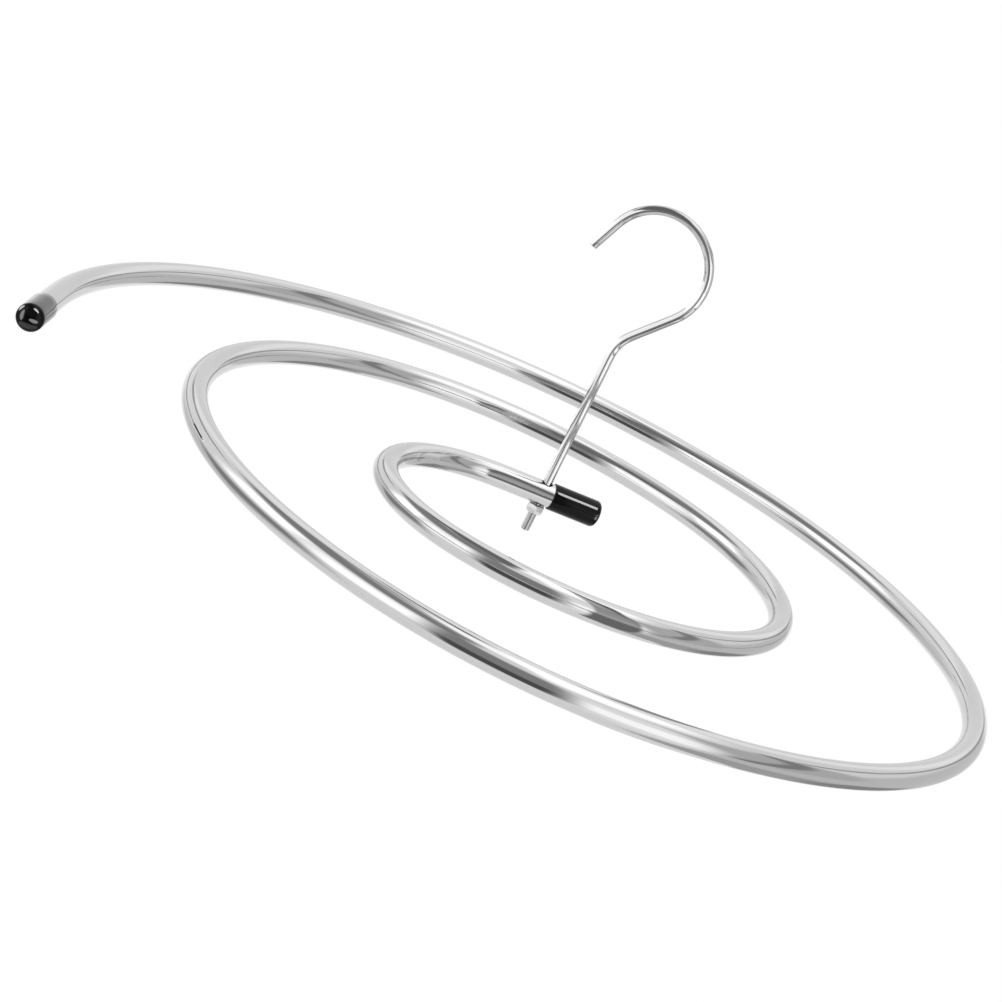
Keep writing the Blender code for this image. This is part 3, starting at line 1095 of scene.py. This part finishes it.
# Each lamp: what it faces, azimuth, elevation, width and height in metres, brightness, pieces it lights
LAMPS = {
    "cap_line": (HUB, 54.5, 62.5, 0.55, 0.78, 52, (inner_cap,)),
    "cap_end": (HUB, 71, -7, 2.1, 1.6, 15, (inner_cap,)),
    "outer_glint": (HUB, 18, 37, 1.3, 1.5, 45, (outer_cap,)),
    "outer_glint_left": (HUB, -72, 12, 1.65, 1.3, 26, (outer_cap,)),
    "outer_bench": (HUB, 17, -17, 1.3, 0.52, 17, (outer_cap,)),
    "outer_doorway": (HUB, -26, -12, 0.5, 1.4, 15, (outer_cap,)),
    "outer_floor": (HUB, 10, -55, 3.6, 2.1, 2.7, (outer_cap,)),
    "outer_back": (HUB, -161, 8, 2.9, 1.7, 0.6, (outer_cap,)),
    "hook_right": (HOOK_MIDDLE, 66, 9, 3.2, 1.5, 0.6, HOOK_PIECES),
    "hook_left": (HOOK_MIDDLE, -92, -5, 4.6, 1.3, 1.15, HOOK_PIECES),
    "hook_front": (HOOK_MIDDLE, 8, -13, 1.9, 0.75, 0.2, HOOK_PIECES),
    "hook_low_right": (HOOK_MIDDLE, 49, -19, 3.1, 0.8, 0.85, HOOK_PIECES),
    "hook_foot_right": (HOOK_MIDDLE, 82, -38, 2.3, 1.2, 0.6, HOOK_PIECES),
    "hook_foot_left": (HOOK_MIDDLE, -80, -33, 3.1, 1.3, 0.5, HOOK_PIECES),
}
# The lamp of the cap's white line is laid out along that cap, and every other one stands level
LAID_ALONG = {"cap_line": Vector((cos(outwards), sin(outwards), 0))}

for name, (faced, lamp_azimuth, lamp_elevation, width, height, radiance, lit) in LAMPS.items():
    light = bpy.data.lights.new(name, "AREA")
    light.shape = "ELLIPSE" if outer_cap in lit else "RECTANGLE"
    light.size = width
    light.size_y = height
    light.energy = radiance * pi * width * height
    lamp = bpy.data.objects.new(name, light)
    scene.collection.objects.link(lamp)
    away = direction(lamp_azimuth, lamp_elevation)
    level_way = Vector((cos(radians(lamp_azimuth)), sin(radians(lamp_azimuth)), 0))
    wide = LAID_ALONG.get(name, level_way)
    wide = (wide - away * wide.dot(away)).normalized()
    pose = Matrix((wide, away.cross(wide), away)).transposed().to_4x4()
    pose.translation = faced + away * LAMP_DISTANCE
    lamp.matrix_world = pose
    lamp.visible_camera = False
    lamp.visible_diffuse = False
    receivers = bpy.data.collections.new(name)
    for piece in lit:
        receivers.objects.link(piece)
    lamp.light_linking.receiver_collection = receivers
    lamp.light_linking.blocker_collection = receivers
print("lamps", len(LAMPS))

# %% [markdown]
# ## Dark cards, painted reflections
#
# Near the hub the real tube droops a little on its loose hole, and there it mirrors the dark side of
# the room, where the camera stands. The model's tube is level and would mirror brighter walls instead.
# So small dark cards hang near the hub, much as a photographer holds black card beside polished metal to
# draw its edges, and one more draws a dark edge on the hook. They are painted reflections: each glows
# dimly, only mirror images show them, and they light nothing and cast no shadow. A card fades out towards
# its rim, because a hard rim would look like a cut in the metal.

# %% Card material
# Painted reflection: the cards glow at a fifth of the room's brightness, so mirrors show them as dark
# streaks
CARD_LEVEL = 0.2

CARD = bpy.data.materials.new("dark_card")
CARD.use_nodes = True
tree = CARD.node_tree
tree.nodes.clear()
cover = add(tree, "ShaderNodeAttribute", attribute_name="cover")
glow = add(tree, "ShaderNodeEmission", {"Strength": CARD_LEVEL})
clear = add(tree, "ShaderNodeBsdfTransparent")
card_mix = add(
    tree,
    "ShaderNodeMixShader",
    {"Fac": cover.outputs["Fac"], 1: clear.outputs[0], 2: glow.outputs[0]},
)
add(tree, "ShaderNodeOutputMaterial", {"Surface": card_mix.outputs[0]})
print("card material", CARD.name)

# %% Dark cards
HUB_CARD_DISTANCE = 0.2
HOOK_CARD_DISTANCE = 0.15
RAIL_SEAT = Vector((0, 0, 0))


def dark_card(name, seen_from, distance, feather, shade, corners):
    """A flat card whose corners are azimuth and elevation as seen from a place.

    It is a painted reflection: a dimly glowing card that only mirrors see. The shade is how much of the
    room it covers. The feather is the share of its size over which that fades out, inside and outside its
    corners.
    """
    ways = [direction(*corner) for corner in corners]
    facing = sum(ways, Vector()).normalized()
    spots = [seen_from + way * distance / way.dot(facing) for way in ways]
    middle = sum(spots, Vector()) / len(spots)
    outer = [middle + (spot - middle) * (1 + feather) for spot in spots]
    inner = [middle + (spot - middle) * (1 - feather) for spot in spots]
    count = len(spots)
    faces = [tuple(range(count))]
    faces += [((k + 1) % count, k, count + k, count + (k + 1) % count) for k in range(count)]
    mesh = bpy.data.meshes.new(name)
    mesh.from_pydata([tuple(spot) for spot in inner + outer], [], faces)
    cover = mesh.attributes.new("cover", "FLOAT", "POINT")
    cover.data.foreach_set("value", [shade] * count + [0] * count)
    mesh.materials.append(CARD)
    made = in_collection(name, mesh)
    made.visible_camera = False
    made.visible_diffuse = False
    made.visible_shadow = False


# Each card: where it is seen from, how far off it hangs, feather, shade and corners
CARDS = {
    "high_card": (HUB, HUB_CARD_DISTANCE, 0.12, 1, ((32, 43), (42, 18), (47.5, 39), (36, 70))),
    "middle_card": (HUB, HUB_CARD_DISTANCE, 0.1, 0.75, ((30, 0), (43, -1), (43, 21), (31, 47))),
    "low_card": (HUB, HUB_CARD_DISTANCE, 0.12, 1, ((29, -21), (43, -22), (43, 1), (29, 2))),
    "hook_card": (
        RAIL_SEAT,
        HOOK_CARD_DISTANCE,
        0.08,
        1,
        ((-80, 24), (-40, 16), (-15, -4), (6, -4), (15, 60), (-80, 65)),
    ),
}
for name, description in CARDS.items():
    dark_card(name, *description)
print("dark cards", len(CARDS))

# %% [markdown]
# ## Floor
#
# The floor is a pale matt board well below the rack. A product photograph is lit so that such a board
# comes out white. Here the board keeps its own pale colour, and a little light of its own lifts it to
# white as the camera sees it, and a little less so as the metal mirrors it. What soft shadow the rack
# throws that far down still falls on it.

# %% Floor
FLOOR_DROP = 0.9
FLOOR_SHIFT = -0.2
FLOOR_RADIUS = 0.8
FLOOR_LIFT = 0.35
FLOOR_LIFT_IN_METAL = 0.22
floor_mesh = bpy.data.meshes.new("floor")
work = bmesh.new()
bmesh.ops.create_circle(work, cap_ends=True, segments=128, radius=FLOOR_RADIUS)
work.to_mesh(floor_mesh)
work.free()
floor = in_collection("floor", floor_mesh)
floor.location = (FLOOR_SHIFT, 0, cad_box[0].z - FLOOR_DROP)

pale = bpy.data.materials.new("matt_white_board")
pale.use_nodes = True
tree = pale.node_tree
shader = tree.nodes["Principled BSDF"]
shader.inputs["Base Color"].default_value = linear("#E6E6E6")
shader.inputs["Roughness"].default_value = 0.9
ray = add(tree, "ShaderNodeLightPath")
mirrored = add(
    tree,
    "ShaderNodeMath",
    {0: ray.outputs["Is Glossy Ray"], 1: ray.outputs["Is Transmission Ray"]},
    operation="MAXIMUM",
)
faint = add(tree, "ShaderNodeMath", {0: mirrored.outputs[0], 1: FLOOR_LIFT_IN_METAL}, operation="MULTIPLY")
lift = add(
    tree,
    "ShaderNodeMath",
    {0: ray.outputs["Is Camera Ray"], 1: FLOOR_LIFT, 2: faint.outputs[0]},
    operation="MULTIPLY_ADD",
)
shader.inputs["Emission Color"].default_value = (1, 1, 1, 1)
tree.links.new(lift.outputs[0], shader.inputs["Emission Strength"])
floor.data.materials.append(pale)
print("floor at height", round(floor.location.z, 3), "m")
